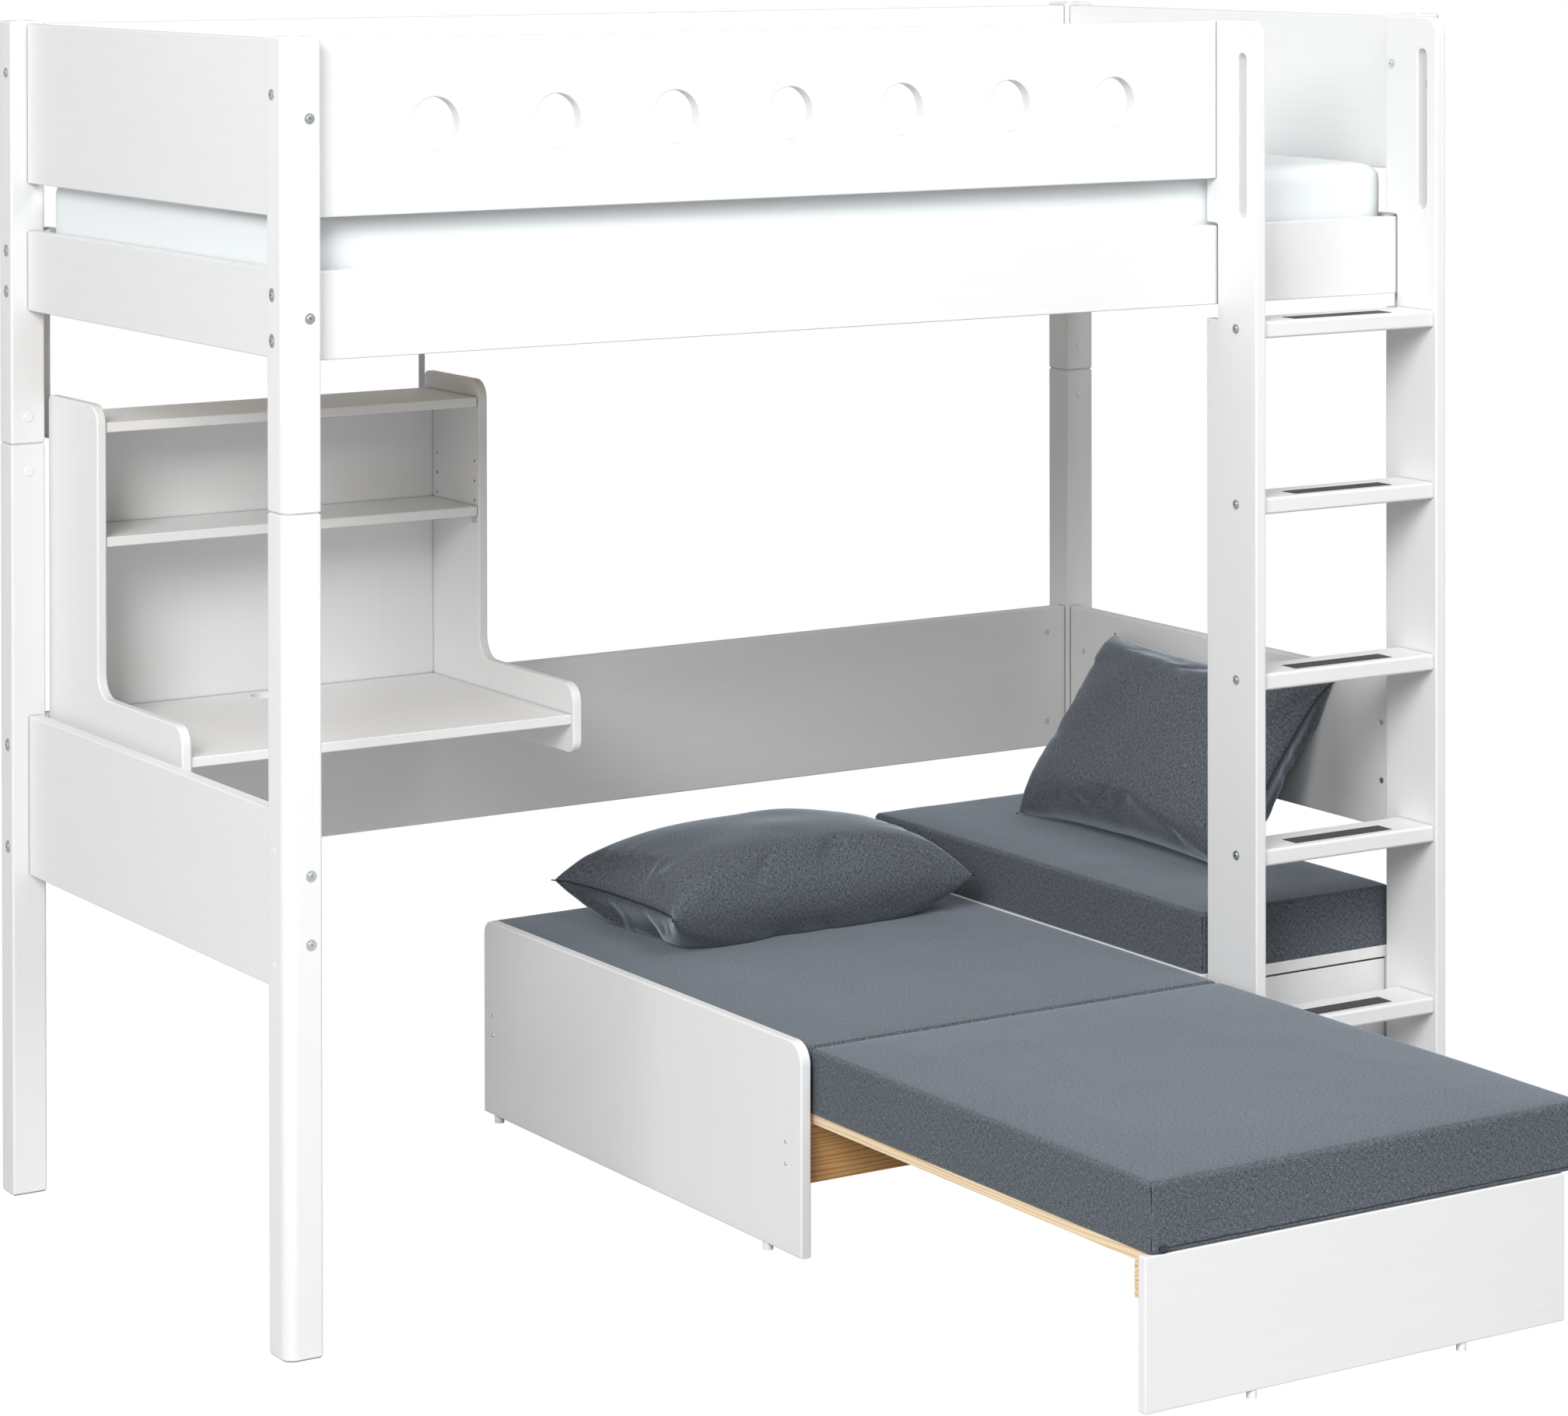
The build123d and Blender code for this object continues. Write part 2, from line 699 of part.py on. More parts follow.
# Sofa
bench_right_edge = inner_right - bench_right_gap
bench_left_edge = bench_right_edge - bench_width
seat_right = bench_left_edge
seat_left = seat_right - sofa_width
sofa_left = seat_left - armrest_thickness
armrest_front = front - armrest_front_reach
armrest_back = inner_back - armrest_back_gap
with BuildPart() as sofa_armrest:
    with BuildSketch(Plane(origin=(sofa_left, 0, 0), x_dir=(0, 1, 0), z_dir=(1, 0, 0))) as outline:
        (dy, cy) = span(armrest_front, armrest_back)
        (dz, cz) = span(sofa_glide_height, armrest_top)
        with Locations((cy, cz)):
            Rectangle(dy, dz)
        for y, radius in ((armrest_front, armrest_front_round), (armrest_back, armrest_back_round)):
            corner = outline.vertices().sort_by_distance((y, armrest_top, 0))[0]
            fillet(corner, radius)
    extrude(amount=armrest_thickness)
    fillet(sofa_armrest.faces().filter_by(Axis.X).edges(), armrest_edge_radius)
save(sofa_armrest, "sofa_armrest")

cross_top = cross_bottom + cross_height
cross_front = front + cross_front_inset
cross_back = armrest_back - cross_back_gap
with BuildPart() as cross_boards:
    for y in (cross_front + cross_thickness / 2, cross_back - cross_thickness / 2):
        (dx, cx) = span(seat_left, seat_right)
        with Locations((cx, y, cross_bottom + cross_height / 2)):
            Box(dx, cross_thickness, cross_height)
save(cross_boards, "sofa_cross_boards")

with BuildPart() as bolts_round:
    for sx, sy in corners:
        for height, kind in side_heights(sx, sy):
            if kind == "round":
                bolt(side_face(sx, sy, height), (-sx, 0, 0), frame_shank)
        for height in end_heights():
            bolt(end_face(sx, sy, height), (0, -sy, 0), frame_shank)
    bolt((right_stile_left, front + bolt_inset, stile_bolt_height()), (1, 0, 0), stile_thickness + bolt_grip)
    for top in rung_tops:
        height = top - rung_thickness / 2
        bolt((left_stile_left, rung_centre_y, height), (1, 0, 0), stile_thickness + bolt_grip)
        bolt((ladder_right, rung_centre_y, height), (-1, 0, 0), stile_thickness + bolt_grip)
    for y in (cross_front + cross_thickness / 2, cross_back - cross_thickness / 2):
        for number in range(2):
            height = armrest_screw_low + number * armrest_screw_pitch
            with BuildSketch(Plane(origin=(sofa_left, y, height), z_dir=(-1, 0, 0))):
                Circle(armrest_screw_radius)
            extrude(amount=armrest_screw_height, taper=30)
save(bolts_round, "bolts_round")

moving_first = seat_left + seat_slat_first_gap
moving_last = seat_left - pull_front_overlap + pull_front_width - seat_slat_width - running_gap
moving_pitch = (moving_last - moving_first) / (seat_slat_count - 1)
moving_slats = [moving_first + number * moving_pitch for number in range(seat_slat_count)]
fixed_slats = [x + moving_pitch / 2 for x in moving_slats[:-1]]
with BuildPart() as sofa_slats:
    for x in fixed_slats:
        (dy, cy) = span(cross_front, cross_back)
        with Locations((x + seat_slat_width / 2, cy, cross_top + seat_slat_thickness / 2)):
            Box(seat_slat_width, dy, seat_slat_thickness)
save(sofa_slats, "sofa_slats")

# Bench
bench_front_edge = front + bench_front_inset
bench_back_edge = inner_back - bench_back_gap
bench_seat_low = bench_seat_top - bench_seat_thickness
bench_front_face = bench_front_edge + bench_front_setback
board("bench_seat", (bench_left_edge, bench_right_edge), (bench_front_edge, bench_back_edge),
      (bench_seat_low, bench_seat_top), board_edge_radius)
board("bench_front", (bench_left_edge + bench_board_thickness, bench_right_edge - bench_board_thickness),
      (bench_front_face, bench_front_face + bench_board_thickness),
      (sofa_glide_height, bench_seat_low - bench_shadow_gap), board_edge_radius)
with BuildPart() as bench_sides:
    for x in (bench_left_edge + bench_board_thickness / 2, bench_right_edge - bench_board_thickness / 2):
        (dy, cy) = span(bench_front_face, bench_back_edge)
        (dz, cz) = span(sofa_glide_height, bench_seat_low)
        with Locations((x, cy, cz)):
            Box(bench_board_thickness, dy, dz)
save(bench_sides, "bench_sides")


with BuildPart() as sofa_glides:
    glide_rows = (bench_front_face + glide_inset, bench_back_edge - glide_inset)
    for x in (sofa_left + armrest_thickness / 2, bench_left_edge + bench_board_thickness / 2,
              bench_right_edge - bench_board_thickness / 2):
        for y in glide_rows:
            with BuildSketch(Plane.XY):
                with Locations((x, y)):
                    Circle(glide_radius)
            extrude(amount=sofa_glide_height)
save(sofa_glides, "sofa_glides")

# Pull-out under the seat
pull_front_face = front - pull_reach
pull_panel_back = pull_front_face + pull_front_thickness
pull_left = seat_left - pull_front_overlap
pull_right = pull_left + pull_front_width
board("pull_out_front", (pull_left, pull_right), (pull_front_face, pull_panel_back),
      (sofa_glide_height, sofa_glide_height + pull_front_height), board_edge_radius)
pull_slat_low = cross_top + running_gap
board("pull_out_rail", (moving_first - pull_rail_end_reach, pull_right - pull_front_overlap),
      (pull_panel_back, pull_panel_back + pull_rail_thickness),
      (pull_slat_low - pull_rail_height, pull_slat_low), 0)

batten_front = cross_front + cross_thickness + pull_batten_gap
with BuildPart() as pull_out_slats:
    for x in moving_slats:
        (dy, cy) = span(pull_panel_back, batten_front + pull_batten_thickness)
        (dz, cz) = span(pull_slat_low, slat_top)
        with Locations((x + seat_slat_width / 2, cy, cz)):
            Box(seat_slat_width, dy, dz)
save(pull_out_slats, "pull_out_slats")

with BuildPart() as pull_out_batten:
    (dx, cx) = span(moving_first, moving_slats[-1] + seat_slat_width)
    batten_top = cross_top - slat_pass_gap
    with Locations((cx, batten_front + pull_batten_thickness / 2, batten_top - pull_batten_height / 2)):
        Box(dx, pull_batten_thickness, pull_batten_height)
    for x in moving_slats:
        (dz, cz) = span(batten_top, pull_slat_low)
        with Locations((x + seat_slat_width / 2, batten_front + pull_batten_thickness / 2, cz)):
            Box(seat_slat_width, pull_batten_thickness, dz)
save(pull_out_batten, "pull_out_batten")

with BuildPart() as pull_out_glides:
    for x in (pull_left + pull_glide_inset, pull_right - pull_glide_inset):
        with BuildSketch(Plane.XY):
            with Locations((x, pull_front_face + pull_front_thickness / 2)):
                Circle(pull_glide_radius)
        extrude(amount=sofa_glide_height)
save(pull_out_glides, "pull_out_glides")

# Seat cushions
cushion_low = slat_top + soft_gap
cushion_left = seat_left + cushion_side_gap
cushion_right = cushion_left + cushion_width
split_y = front + cushion_split
cushion_back = inner_back + cushion_back_reach
cushion("mattress_seat", (cushion_left, cushion_right), (split_y + soft_gap, cushion_back),
        cushion_low, cushion_thickness, cushion_radius, cushion_crown, cushion_roll, cushion_drawn)
fold_front = pull_front_face + zip_thickness
cushion("mattress_fold", (cushion_left, cushion_right), (fold_front, split_y - soft_gap),
        cushion_low, cushion_thickness, cushion_radius, cushion_crown, cushion_roll, cushion_drawn)
cushion("bench_cushion", (bench_left_edge + bench_cushion_side_gap, right - post_side - bench_cushion_post_gap),
        (bench_front_edge, cushion_back), bench_seat_top, cushion_thickness, cushion_radius,
        cushion_crown, cushion_roll, cushion_drawn)

with BuildPart() as zip_slider:
    x = cushion_left + zip_from_corner + zip_length / 2
    (dy, cy) = span(pull_front_face, fold_front - soft_gap)
    with Locations((x, cy, cushion_low + zip_rise + zip_height / 2)):
        Box(zip_length, dy, zip_height)
    fillet(zip_slider.edges().filter_by(Axis.Y), zip_height * 0.3)
save(zip_slider, "zip_slider")


def pillow(name, base):
    """A filled pillow: arched faces that meet in a thin seam, fullest in the middle."""
    shape = [(-0.5, 0.10, 1.0), (-0.47, 0.30, 0.985), (-0.4, 0.62, 0.955), (-0.25, 0.9, 0.93),
             (0.0, 1.0, 0.92), (0.25, 0.9, 0.93), (0.4, 0.62, 0.955), (0.47, 0.30, 0.985),
             (0.5, 0.10, 1.0)]
    with BuildPart() as piece:
        for along, fullness, breadth in shape:
            half = pillow_width / 2 * breadth
            up = pillow_up * fullness
            down = pillow_down * fullness
            flat = pillow_flat / 2
            place = base.origin + base.x_dir * (along * pillow_length)
            with BuildSketch(Plane(origin=place, x_dir=base.y_dir, z_dir=base.x_dir)):
                with BuildLine():
                    ThreePointArc((-half, 0), (-(half + flat) / 2, -down * 0.72), (-flat, -down))
                    Line((-flat, -down), (flat, -down))
                    ThreePointArc((flat, -down), ((half + flat) / 2, -down * 0.72), (half, 0))
                    ThreePointArc((half, 0), (0, up), (-half, 0))
                make_face()
        loft(ruled=True)
    save(piece, name)


cushion_top = cushion_low + cushion_thickness + cushion_crown
pillow("pillow_lying", Plane(
    origin=(seat_left + pillow_from_armrest, front + pillow_from_front, cushion_top + pillow_down + soft_gap)))

lean = math.radians(back_pillow_lean)
bench_cushion_top = bench_seat_top + cushion_thickness + cushion_crown
half_width = pillow_width / 2
back_pillow = Plane(
    origin=(inner_right - back_pillow_wall_gap - half_width * math.cos(lean),
            front + back_pillow_from_front,
            bench_cushion_top + soft_gap + half_width * math.sin(lean)),
    x_dir=(0, -1, 0), z_dir=(-math.sin(lean), 0, math.cos(lean)))
pillow("pillow_leaning", back_pillow)
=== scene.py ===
"""Looks of the loft bed: lacquered boards, pine, zinc fittings, woven covers and pillows."""
import math

import bmesh
import bpy
from mathutils import Matrix, Vector, noise


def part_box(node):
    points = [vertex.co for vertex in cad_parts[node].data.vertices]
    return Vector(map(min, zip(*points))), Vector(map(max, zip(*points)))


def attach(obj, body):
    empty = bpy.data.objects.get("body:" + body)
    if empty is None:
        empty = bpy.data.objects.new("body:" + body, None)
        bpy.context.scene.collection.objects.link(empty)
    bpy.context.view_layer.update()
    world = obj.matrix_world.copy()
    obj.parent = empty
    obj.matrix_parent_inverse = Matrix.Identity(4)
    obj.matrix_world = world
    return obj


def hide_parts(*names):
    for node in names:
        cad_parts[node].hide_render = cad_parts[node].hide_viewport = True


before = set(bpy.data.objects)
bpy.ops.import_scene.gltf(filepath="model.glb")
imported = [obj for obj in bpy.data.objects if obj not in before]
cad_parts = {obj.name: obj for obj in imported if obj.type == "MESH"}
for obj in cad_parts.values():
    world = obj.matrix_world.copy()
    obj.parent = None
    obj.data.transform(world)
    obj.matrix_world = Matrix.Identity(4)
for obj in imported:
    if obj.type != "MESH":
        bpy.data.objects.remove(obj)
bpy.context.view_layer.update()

# Camera found from the photograph: pixels, radians, millimetres from the front left post's corner
PHOTO_WIDTH = 2016.0
PHOTO_HEIGHT = 1820.0
CAMERA_FROM_POST = (-2787.68, -5667.67, 2043.35)
CAMERA_YAW = 0.5643
CAMERA_PITCH = 0.0075
CAMERA_ROLL = -0.0016
FOCAL_PIXELS = 5823.42
CENTRE_PIXEL = (991.15, -93.39)
SENSOR_MM = 36.0
MM = 0.001

# Colours, linear, and the slate cloth's threads in metres
WHITE = (0.80, 0.80, 0.80)
SLATE_DARK = (0.040, 0.048, 0.058)
SLATE_MIDDLE = (0.108, 0.122, 0.140)
SLATE_PALE = (0.215, 0.235, 0.262)
THREAD_WIDTH = 0.0015
STREAK_LENGTH = 0.0060

# Foam blocks, metres: spacing of their points, then how the slate and the white covers sit
BLOCK_STEP = 0.020
BLOCK_STEP_UP = 0.012
ROLL_TURNS = 5
TOP_ROLL = 0.008
TOP_CROWN = 0.004
COVER_UNEVEN = 0.0022
CUSHION_CORNER = 0.012
UPPER_ROLL = 0.030
UPPER_CROWN = 0.012
UPPER_UNEVEN = 0.0024
UPPER_CORNER = 0.066

# Pillows, metres and radians
PILLOW_LONG = 0.620
PILLOW_WIDE = 0.400
PILLOW_POINTS = (72, 46)
LYING_PLUMP = 0.077
LYING_LIFT = 0.066
LYING_TURN = math.radians(2.0)
LEANING_PLUMP = 0.071
LEANING_TURN = math.radians(54.0)
PILLOW_PRESSURE = 3.0
PILLOW_FRAMES = 16
PILLOW_SWELL = 0.020
PRESSED_IN = 0.001

# Seams, stitches and the closed zip, metres
SEAM_RADIUS = 0.0011
SEAM_POINTS = 14
SEAM_MARGIN_LOW = 0.004
SEAM_MARGINS = 0.014
SEAM_WAIST = 0.0013
SEAM_SWAY = 0.0006
STITCH_RADIUS = 0.0007
STITCH_PITCH = 0.008
STITCH_LENGTH = 0.0045
STITCH_MARGIN = 0.015
STITCH_INSET = 0.0065
STITCH_DEPTH = 0.0040
ZIP_RADIUS = 0.0011
ZIP_POINTS = 40
ZIP_MARGIN = 0.014
ZIP_INSET = 0.0010
ZIP_HEIGHT = 0.0065
ZIP_SWAY = 0.0004

# Small screw low on the right ladder stile, metres
SCREW_RADIUS = 0.0030
SCREW_TOP_RADIUS = 0.0022
SCREW_HEIGHT = 0.0010
SCREW_SUNK = 0.0003
SCREW_STANDS_OUT = 0.0004
SCREW_BEHIND_POST = 0.035
SCREW_UP = 0.187

# Stage and light: metres, watts and linear greys
FLOOR_REACH = 14.0
FLOOR_DROP = 0.001
FLOOR_GREY = (0.55, 0.55, 0.55, 1.0)
PLAIN_WHITE = (1.0, 1.0, 1.0, 1.0)
SKY_COLOR = (0.98, 0.99, 1.0, 1.0)
SKY_STRENGTH = 0.45
KEY_PLACE = (-6.0, -4.6, 5.0)
KEY_TARGET = (0.0, 0.0, 0.8)
KEY_SIZE = (3.6, 3.6)
KEY_WATTS = 575.0
OVERHEAD_PLACE = (0.5, -3.2, 4.7)
OVERHEAD_TARGET = (0.5, -0.7, 0.3)
OVERHEAD_SIZE = (2.4, 1.8)
OVERHEAD_WATTS = 112.0


def low(node):
    return Vector(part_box(node)[0])


def high(node):
    return Vector(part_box(node)[1])


# Camera
def make_camera():
    """Camera at the photograph's viewpoint, with its upright lines kept upright by the shift."""
    data = bpy.data.cameras.new("camera")
    camera = bpy.data.objects.new("camera", data)
    bpy.context.collection.objects.link(camera)
    forward = Vector((math.sin(CAMERA_YAW) * math.cos(CAMERA_PITCH),
                      math.cos(CAMERA_YAW) * math.cos(CAMERA_PITCH), -math.sin(CAMERA_PITCH)))
    side = Vector((math.cos(CAMERA_YAW), -math.sin(CAMERA_YAW), 0.0))
    up = side.cross(forward)
    right = math.cos(CAMERA_ROLL) * side + math.sin(CAMERA_ROLL) * up
    top = -math.sin(CAMERA_ROLL) * side + math.cos(CAMERA_ROLL) * up
    turn = Matrix((right, top, -forward)).transposed().to_4x4()
    post = low("post_front_left_lower")
    place = Vector((post.x, post.y, 0.0)) + Vector(CAMERA_FROM_POST) * MM
    camera.matrix_world = Matrix.Translation(place) @ turn
    data.sensor_width = SENSOR_MM
    data.sensor_fit = "HORIZONTAL"
    data.lens = FOCAL_PIXELS * SENSOR_MM / PHOTO_WIDTH
    data.shift_x = (PHOTO_WIDTH / 2 - CENTRE_PIXEL[0]) / PHOTO_WIDTH
    data.shift_y = (CENTRE_PIXEL[1] - PHOTO_HEIGHT / 2) / PHOTO_WIDTH
    data.clip_end = 60.0
    bpy.context.scene.camera = camera


make_camera()


# Material helpers
def new_material(name, color, roughness):
    """A material with its shader ready: the material, its node tree and the shader."""
    material = bpy.data.materials.new(name)
    material.use_nodes = True
    shader = material.node_tree.nodes["Principled BSDF"]
    shader.inputs["Base Color"].default_value = (*color, 1.0)
    shader.inputs["Roughness"].default_value = roughness
    return material, material.node_tree, shader


def add(tree, kind, inputs=None, **properties):
    """A node with its properties set, and its inputs set or linked."""
    node = tree.nodes.new(kind)
    for key, value in properties.items():
        setattr(node, key, value)
    for key, value in (inputs or {}).items():
        if isinstance(value, bpy.types.NodeSocket):
            tree.links.new(value, node.inputs[key])
        else:
            node.inputs[key].default_value = value
    return node


def object_place(tree, scale=(1.0, 1.0, 1.0)):
    coordinates = add(tree, "ShaderNodeTexCoord")
    mapping = add(tree, "ShaderNodeMapping", {"Vector": coordinates.outputs["Object"],
                                              "Scale": scale})
    return mapping.outputs["Vector"]


def math_node(tree, operation, first, second=0.0):
    node = add(tree, "ShaderNodeMath", {0: first, 1: second}, operation=operation)
    return node.outputs[0]


def blend(tree, factor, first, second):
    """One number between two others."""
    return add(tree, "ShaderNodeMix", {0: factor, 2: first, 3: second}).outputs[0]


def mix_color(tree, factor, first, second, blend_type="MIX"):
    node = add(tree, "ShaderNodeMix", data_type="RGBA", blend_type=blend_type)
    for key, value in ((0, factor), (6, first), (7, second)):
        if isinstance(value, bpy.types.NodeSocket):
            tree.links.new(value, node.inputs[key])
        else:
            node.inputs[key].default_value = value
    return node.outputs[2]


def ramp(tree, source, stops):
    """A colour ramp over a value."""
    node = add(tree, "ShaderNodeValToRGB", {"Fac": source})
    elements = node.color_ramp.elements
    while len(elements) < len(stops):
        elements.new(0.5)
    for element, (place, color) in zip(elements, stops):
        element.position = place
        element.color = (*color, 1.0)
    return node.outputs["Color"]


def bump(tree, shader, height, strength, distance):
    node = add(tree, "ShaderNodeBump", {"Height": height, "Strength": strength,
                                        "Distance": distance})
    tree.links.new(node.outputs["Normal"], shader.inputs["Normal"])


def paint_crevice_shade(tree, shader, color, distance, depth):
    """Painted shade: darken the colour in narrow holes and joints, by how hidden ambient occlusion
    finds them.
    """
    shade = add(tree, "ShaderNodeAmbientOcclusion", {"Distance": distance}, samples=8)
    dark = ramp(tree, shade.outputs["AO"], [(0.25, (depth,) * 3), (0.8, (1.0,) * 3)])
    tree.links.new(mix_color(tree, 1.0, color, dark, "MULTIPLY"), shader.inputs["Base Color"])


# Materials
def lacquer(name, grain_scale):
    """Satin lacquer with the wood's grain barely showing through along one direction, and painted
    shade in its narrow holes and joints.
    """
    material, tree, shader = new_material(name, WHITE, 0.40)
    shader.inputs["Specular IOR Level"].default_value = 0.35
    grain = add(tree, "ShaderNodeTexNoise", {"Vector": object_place(tree, grain_scale),
                                             "Scale": 1.0, "Detail": 5.0, "Roughness": 0.6})
    pale = tuple(c * 1.008 for c in WHITE)
    deep = tuple(c * 0.985 for c in WHITE)
    color = ramp(tree, grain.outputs["Fac"], [(0.3, deep), (0.7, pale)])
    # painted shade: ambient occlusion darkens the lacquer's colour in holes and joints
    paint_crevice_shade(tree, shader, color, 0.006, 0.45)
    bump(tree, shader, grain.outputs["Fac"], 0.04, 0.0004)
    return material


white_upright = lacquer("white_upright", (170.0, 170.0, 5.0))
white_along_x = lacquer("white_along_x", (5.0, 120.0, 120.0))
white_along_y = lacquer("white_along_y", (120.0, 5.0, 120.0))


def pine(name, pale, deep, stretch, knot=None):
    """Planed pine: fine wavy growth lines along one axis, with dark knots if given their colour."""
    material, tree, shader = new_material(name, pale, 0.48)
    vector = object_place(tree, stretch)
    wander = add(tree, "ShaderNodeTexNoise", {"Vector": vector, "Scale": 0.7, "Detail": 2.0})
    offset = add(tree, "ShaderNodeVectorMath",
                 {0: wander.outputs["Color"], 1: (1.6, 1.6, 1.6), 2: vector},
                 operation="MULTIPLY_ADD")
    growth = add(tree, "ShaderNodeTexWave", {"Vector": offset.outputs["Vector"], "Scale": 1.6,
                                             "Distortion": 2.2, "Detail": 3.0},
                 wave_type="BANDS", bands_direction="Z")
    between = tuple((p + d) / 2 for p, d in zip(pale, deep))
    wood = ramp(tree, growth.outputs["Fac"],
                [(0.1, pale), (0.6, pale), (0.85, between), (1.0, deep)])
    if knot:
        cells = add(tree, "ShaderNodeTexVoronoi", {"Vector": object_place(tree, (5.0, 9.0, 12.0)),
                                                   "Scale": 1.0})
        near = add(tree, "ShaderNodeMapRange", {"Value": cells.outputs["Distance"],
                                                "From Min": 0.04, "From Max": 0.13,
                                                "To Min": 0.8, "To Max": 0.0})
        wood = mix_color(tree, near.outputs["Result"], wood, (*knot, 1.0))
    tree.links.new(wood, shader.inputs["Base Color"])
    bump(tree, shader, growth.outputs["Fac"], 0.10, 0.0005)
    return material


GROWTH_ALONG_X = (1.6, 30.0, 30.0)
GROWTH_ALONG_Y = (30.0, 1.6, 30.0)
pine_orange = pine("pine_orange", (0.66, 0.38, 0.15), (0.45, 0.21, 0.07), GROWTH_ALONG_X,
                   (0.20, 0.07, 0.02))
pine_pale = pine("pine_pale", (0.84, 0.68, 0.46), (0.70, 0.47, 0.25), GROWTH_ALONG_Y)
pine_pale_x = pine("pine_pale_x", (0.83, 0.62, 0.38), (0.58, 0.33, 0.15), GROWTH_ALONG_X)


def metal(name, color, roughness, metallic):
    """Plated steel, finely uneven, with painted shade darkening it in its sockets and under its
    heads.
    """
    material, tree, shader = new_material(name, color, roughness)
    shader.inputs["Metallic"].default_value = metallic
    speck = add(tree, "ShaderNodeTexNoise", {"Vector": object_place(tree), "Scale": 900.0})
    spread = add(tree, "ShaderNodeMapRange", {"Value": speck.outputs["Fac"],
                                              "To Min": roughness * 0.75,
                                              "To Max": roughness * 1.3})
    tree.links.new(spread.outputs["Result"], shader.inputs["Roughness"])
    tint = ramp(tree, speck.outputs["Fac"], [(0.3, tuple(c * 0.94 for c in color)), (0.7, color)])
    # painted shade: ambient occlusion darkens the steel's colour in sockets and under heads
    paint_crevice_shade(tree, shader, tint, 0.0025, 0.06)
    return material


zinc = metal("zinc", (0.74, 0.78, 0.80), 0.24, 0.9)
hanger_steel = metal("hanger_steel", (0.66, 0.67, 0.68), 0.5, 0.5)
zip_dark = metal("zip_dark", (0.09, 0.10, 0.12), 0.4, 0.9)


def plastic(name, color, roughness):
    material, tree, shader = new_material(name, color, roughness)
    mottle = add(tree, "ShaderNodeTexNoise", {"Vector": object_place(tree), "Scale": 260.0})
    shade = ramp(tree, mottle.outputs["Fac"], [(0.3, tuple(c * 0.96 for c in color)), (0.7, color)])
    tree.links.new(shade, shader.inputs["Base Color"])
    bump(tree, shader, mottle.outputs["Fac"], 0.08, 0.0003)
    return material


cap_white = plastic("cap_white", (0.83, 0.83, 0.83), 0.5)
glide_white = plastic("glide_white", (0.86, 0.86, 0.86), 0.5)
seam_dark = plastic("seam_dark", (0.022, 0.027, 0.034), 0.9)


def grip(name):
    """Dark anti-slip tape with a coarse grit."""
    material, tree, shader = new_material(name, (0.05, 0.05, 0.052), 0.85)
    grit = add(tree, "ShaderNodeTexNoise", {"Vector": object_place(tree), "Scale": 1400.0,
                                            "Detail": 2.0})
    shade = ramp(tree, grit.outputs["Fac"],
                 [(0.35, (0.035, 0.035, 0.037)), (0.7, (0.095, 0.095, 0.098))])
    tree.links.new(shade, shader.inputs["Base Color"])
    bump(tree, shader, grit.outputs["Fac"], 0.5, 0.0006)
    return material


grip_tape = grip("grip_tape")


def cloth_places(tree):
    """Distances across and along the cloth on each face of a block, from the face's direction."""
    coordinates = add(tree, "ShaderNodeTexCoord")
    place = add(tree, "ShaderNodeSeparateXYZ", {"Vector": coordinates.outputs["Object"]}).outputs
    bare = add(tree, "ShaderNodeVectorMath", {0: coordinates.outputs["Normal"]},
               operation="ABSOLUTE")
    facing = add(tree, "ShaderNodeSeparateXYZ", {"Vector": bare.outputs["Vector"]}).outputs
    sideways = math_node(tree, "GREATER_THAN", facing["X"],
                         math_node(tree, "MAXIMUM", facing["Y"], facing["Z"]))
    upward = math_node(tree, "GREATER_THAN", facing["Z"],
                       math_node(tree, "MAXIMUM", facing["X"], facing["Y"]))
    across = blend(tree, sideways, place["X"], place["Y"])
    along = blend(tree, upward, place["Z"], place["Y"])
    return across, along


def streaks(tree, across, along, width, length):
    """Noise drawn out along one direction, as slubby threads are."""
    vector = add(tree, "ShaderNodeCombineXYZ", {"X": math_node(tree, "DIVIDE", across, width),
                                                "Y": math_node(tree, "DIVIDE", along, length)})
    slubs = add(tree, "ShaderNodeTexNoise", {"Vector": vector.outputs["Vector"], "Scale": 1.0,
                                             "Detail": 2.0, "Roughness": 0.7})
    return slubs.outputs["Fac"]


def weave(name):
    """Slate cloth: threads of mixed shades both ways under a fine diagonal rib."""
    material, tree, shader = new_material(name, SLATE_MIDDLE, 0.95)
    shader.inputs["Specular IOR Level"].default_value = 0.10
    shader.inputs["Sheen Weight"].default_value = 0.8
    shader.inputs["Sheen Roughness"].default_value = 0.35
    shader.inputs["Sheen Tint"].default_value = (0.78, 0.88, 1.0, 1.0)
    across, along = cloth_places(tree)
    warp = streaks(tree, across, along, THREAD_WIDTH, STREAK_LENGTH)
    weft = streaks(tree, along, across, THREAD_WIDTH, STREAK_LENGTH)
    threads = blend(tree, 0.5, warp, weft)
    color = ramp(tree, threads, [(0.36, SLATE_DARK), (0.5, SLATE_MIDDLE), (0.64, SLATE_PALE)])
    diagonal = math_node(tree, "DIVIDE", math_node(tree, "ADD", across, along), THREAD_WIDTH * 0.45)
    rib = math_node(tree, "MULTIPLY_ADD", math_node(tree, "SINE", diagonal), 0.5)
    shade = ramp(tree, rib, [(0.0, (0.80, 0.80, 0.81)), (1.0, (1.0, 1.0, 1.0))])
    slow = add(tree, "ShaderNodeTexNoise", {"Vector": object_place(tree), "Scale": 3.5,
                                            "Detail": 2.0})
    wear = ramp(tree, slow.outputs["Fac"], [(0.3, (0.93, 0.93, 0.93)), (0.7, (1.0, 1.0, 1.0))])
    color = mix_color(tree, 1.0, mix_color(tree, 1.0, color, shade, "MULTIPLY"), wear, "MULTIPLY")
    tree.links.new(color, shader.inputs["Base Color"])
    bump(tree, shader, threads, 0.35, 0.0005)
    return material


slate = weave("slate_weave")


